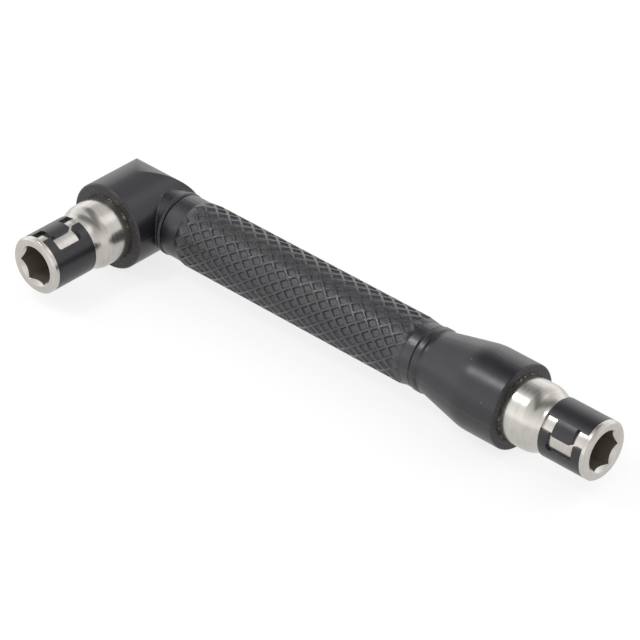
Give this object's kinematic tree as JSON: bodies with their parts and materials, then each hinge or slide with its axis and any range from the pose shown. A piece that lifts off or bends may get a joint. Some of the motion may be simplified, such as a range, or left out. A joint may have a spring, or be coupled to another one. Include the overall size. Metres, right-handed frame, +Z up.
{
  "type": "offset screwdriver",
  "caption": "Right-angled screwdriver handle with a diamond grip and a magnetic quarter-inch hex bit socket, held by a ball and a spring clip, on each end.",
  "frame": {"origin": "middle of the footprint, on the surface that the tool lies on", "axes": "+X along the handle, from the elbow to the long end's tip; -Y along the short arm, from the elbow to its tip; +Z up, square to both arms"},
  "size_m": [0.113, 0.0348, 0.0163],
  "materials": {
    "cover_plastic": "satin",
    "grip_rubber": "satin",
    "socket_steel": "satin nickel",
    "clip_steel": "black oxide",
    "core_steel": "drawn",
    "ball_steel": "polished",
    "magnet_nickel": "nickel plated"
  },
  "bodies": {
    "tool": {"elbow_cover": "cover_plastic", "grip_sleeve": "grip_rubber", "nose_cover": "cover_plastic", "core_rod": "core_steel", "long_socket": "socket_steel", "long_clip": "clip_steel", "long_magnet": "magnet_nickel", "short_socket": "socket_steel", "short_clip": "clip_steel", "short_magnet": "magnet_nickel"},
    "long_detent": {"long_ball": "ball_steel"},
    "short_detent": {"short_ball": "ball_steel"}
  },
  "joints": [
    {"name": "long_ball_press", "type": "slide", "parent": "tool", "child": "long_detent", "axis": [0, 0.9945, -0.1045], "range_m": [0, 0.0003], "stiffness_N_per_m": 3000, "springref_m": -0.0007},
    {"name": "short_ball_press", "type": "slide", "parent": "tool", "child": "short_detent", "axis": [-0.4617, 0, -0.887], "range_m": [0, 0.0003], "stiffness_N_per_m": 3000, "springref_m": -0.0007}
  ]
}
